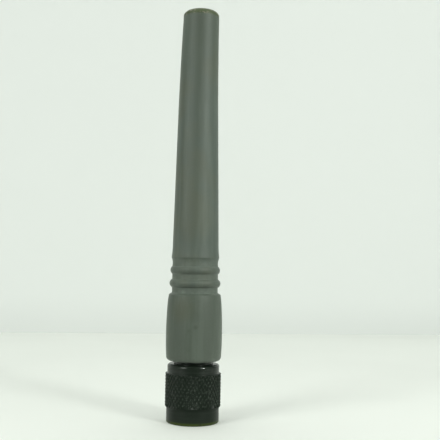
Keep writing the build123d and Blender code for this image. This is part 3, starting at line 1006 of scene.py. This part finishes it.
# Dark cards, one behind the camera and one on the table: name, middle, width and height, turn
CARDS = (
    ("flag", (0, -0.28, 0.3), (0.36, 0.5), (math.pi / 2, 0, math.pi)),
    ("apron", (-0.04, -0.165, MM), (0.32, 0.27), (0, 0, 0)),
)
ROOM_TINT = (0.94, 1.0, 0.93, 1)
ROOM_STRENGTH = 0.32


class ANTENNA_OT_stage(AntennaOperator, bpy.types.Operator):
    """Sets the pale table and backdrop, the soft lights and the camera."""

    bl_idname = "antenna.stage"
    bl_label = "Stage, Lights and Camera"

    def execute(self, context):
        look, s = context.scene.antenna_finishes, context.scene.antenna_stage
        self.table(s, look)
        self.backdrop(s, look)
        for lamp in LAMPS:
            self.light(*lamp)
        self.cards()
        self.surroundings(context)
        self.camera(context, s)
        context.scene.view_settings.view_transform = "Standard"
        return {"FINISHED"}

    def sheet(self, name, middle, size, turn, material):
        """A flat sheet of the stage."""
        bpy.ops.object.select_all(action="DESELECT")
        bpy.ops.mesh.primitive_plane_add(size=1, location=middle, rotation=turn)
        piece = bpy.context.object
        piece.name = piece.data.name = name
        piece.scale = (*size, 1)
        bpy.ops.object.transform_apply(location=True, rotation=True, scale=True)
        piece.data.materials.append(material)
        return piece

    def table(self, s, look):
        """A pale table that reaches a little behind the backdrop."""
        paint = Paint("table_pale", {"Roughness": 0.7})
        shade = [part * 0.97 for part in look.floor]
        clouds = paint.noise(9, 3).step(0.3, 0.7)
        paint.feed("Base Color", paint.mix(look.floor, shade, clouds))
        middle = (0, 2 * s.table_depth - s.stage_width / 2, 0)
        self.sheet("table", middle, (s.stage_width, s.stage_width), (0, 0, 0), paint.material)

    def backdrop(self, s, look):
        """A pale wall with painted shade along its foot, where it is a little darker."""
        paint = Paint("backdrop_pale", {"Roughness": 0.8})
        z = paint.axes()[2]
        shade = [part * 0.92 for part in look.backdrop]
        # Painted shade: the wall darkens towards the table
        foot = z.step(24 * MM, 0) * 0.8 + 0.2 * paint.noise(6, 3)
        paint.feed("Base Color", paint.mix(look.backdrop, shade, foot))
        middle = (0, s.table_depth, s.backdrop_height / 2)
        turn = (math.pi / 2, 0, s.backdrop_turn)
        self.sheet("backdrop", middle, (s.stage_width, s.backdrop_height), turn, paint.material)

    def light(self, name, place, size, power, shadow):
        """A soft box that faces the middle of the antenna."""
        data = bpy.data.lights.new(name, "AREA")
        data.shape = "RECTANGLE"
        data.size, data.size_y = size
        data.energy = power
        data.color = LAMP_TINT
        data.use_shadow = shadow
        lamp = bpy.data.objects.new(name, data)
        bpy.context.scene.collection.objects.link(lamp)
        lamp.location = place
        aim = Vector((0, 0, 0.5 * ANTENNA_HEIGHT)) - Vector(place)
        lamp.rotation_euler = aim.to_track_quat("-Z", "Y").to_euler()

    def cards(self):
        """Dark studio cards with one dark side, seen only in what the antenna reflects."""
        paint = Paint("flag_black", {"Roughness": 0.9})
        paint.feed("Base Color", paint.mix((0.02, 0.02, 0.02), (0.03, 0.03, 0.03), paint.noise(5)))
        behind = Expression(paint, paint.node("ShaderNodeNewGeometry").outputs["Backfacing"])
        paint.feed("Alpha", 1 - behind)
        for name, middle, size, turn in CARDS:
            card = self.sheet(name, middle, size, turn, paint.material)
            card.visible_camera = card.visible_shadow = False

    def surroundings(self, context):
        """Even pale light from all round."""
        world = bpy.data.worlds.new("pale_room")
        world.use_nodes = True
        shade = world.node_tree.nodes["Background"]
        shade.inputs["Color"].default_value = ROOM_TINT
        shade.inputs["Strength"].default_value = ROOM_STRENGTH
        context.scene.world = world

    def camera(self, context, s):
        """The photo's camera, in front of the antenna."""
        data = bpy.data.cameras.new("photo_camera")
        data.lens = s.lens
        data.sensor_width = SENSOR_WIDTH
        data.clip_start = NEAREST_SEEN
        eye = bpy.data.objects.new("photo_camera", data)
        context.scene.collection.objects.link(eye)
        aim = Euler((math.pi / 2 + s.pitch, 0, -s.swing)).to_matrix() @ Matrix.Rotation(s.roll, 3, "Z")
        place = Matrix.Translation((0, -s.camera_distance, s.camera_height))
        eye.matrix_world = place @ aim.to_4x4()
        context.scene.camera = eye


PIECES = (
    ANTENNA_OT_stage,
    ANTENNA_OT_sleeve,
    ANTENNA_OT_coupling_nut,
    ANTENNA_OT_outer_contact,
    ANTENNA_OT_insulator,
    ANTENNA_OT_centre_pin,
    ANTENNA_OT_gasket,
    ANTENNA_OT_inner_finishes,
)


class ANTENNA_PT_looks(bpy.types.Panel):
    """Lists what builds the antenna's looks."""

    bl_idname = "ANTENNA_PT_looks"
    bl_label = "Helical Antenna"
    bl_space_type = "VIEW_3D"
    bl_region_type = "UI"
    bl_category = "Antenna"

    def draw(self, context):
        for operator in PIECES:
            self.layout.operator(operator.bl_idname)


GROUPS = {
    "antenna_sleeve": SleeveSizes,
    "antenna_nut": NutSizes,
    "antenna_contacts": ContactSizes,
    "antenna_finishes": Finishes,
    "antenna_stage": StageSizes,
}


def register():
    """Adds the sizes, the operators and the panel."""
    for name, group in GROUPS.items():
        bpy.utils.register_class(group)
        setattr(bpy.types.Scene, name, bpy.props.PointerProperty(type=group))
    for operator in PIECES:
        bpy.utils.register_class(operator)
    bpy.utils.register_class(ANTENNA_PT_looks)


def unregister():
    """Takes them away again."""
    bpy.utils.unregister_class(ANTENNA_PT_looks)
    for operator in reversed(PIECES):
        bpy.utils.unregister_class(operator)
    for name, group in reversed(GROUPS.items()):
        delattr(bpy.types.Scene, name)
        bpy.utils.unregister_class(group)


def main():
    """Builds the looks."""
    register()
    bpy.ops.antenna.stage()
    bpy.ops.antenna.sleeve()
    bpy.ops.antenna.coupling_nut()
    bpy.ops.antenna.outer_contact()
    bpy.ops.antenna.insulator()
    bpy.ops.antenna.centre_pin()
    bpy.ops.antenna.gasket()
    bpy.ops.antenna.inner_finishes()


if __name__ == "__main__":
    main()
